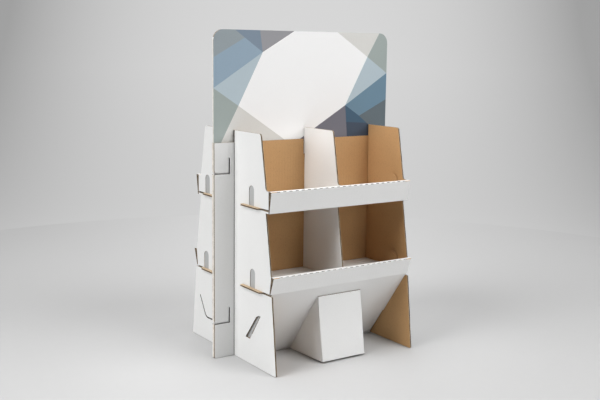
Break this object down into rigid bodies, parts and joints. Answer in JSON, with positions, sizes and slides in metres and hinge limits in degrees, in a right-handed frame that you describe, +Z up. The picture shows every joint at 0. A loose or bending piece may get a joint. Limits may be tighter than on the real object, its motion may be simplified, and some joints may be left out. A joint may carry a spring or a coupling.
{
  "type": "cardboard counter display stand",
  "caption": "Two-sided cardboard counter display: a tall header card between two divided shelf units with rolled lips, slanting aprons and wedge feet, folded and slotted together",
  "frame": {"origin": "on the counter, at the centre of the display's box", "axes": "X runs along the header card, -Y is the front, Z is up"},
  "size_m": [0.4, 0.3188, 0.612],
  "materials": {
    "white_board": "matte white liner",
    "kraft_board": "matte kraft liner",
    "header_print": "matte printed white liner"
  },
  "bodies": {
    "root": {"header_card": "header_print", "front_left_side_panel": "white_board", "front_right_side_panel": "white_board", "front_back_wall": "kraft_board", "front_divider": "white_board", "front_upper_tray": "white_board", "front_lower_tray": "white_board", "front_wedge_foot": "white_board", "rear_left_side_panel": "white_board", "rear_right_side_panel": "white_board", "rear_back_wall": "kraft_board", "rear_divider": "white_board", "rear_upper_tray": "white_board", "rear_lower_tray": "white_board", "rear_wedge_foot": "white_board"}
  },
  "joints": []
}
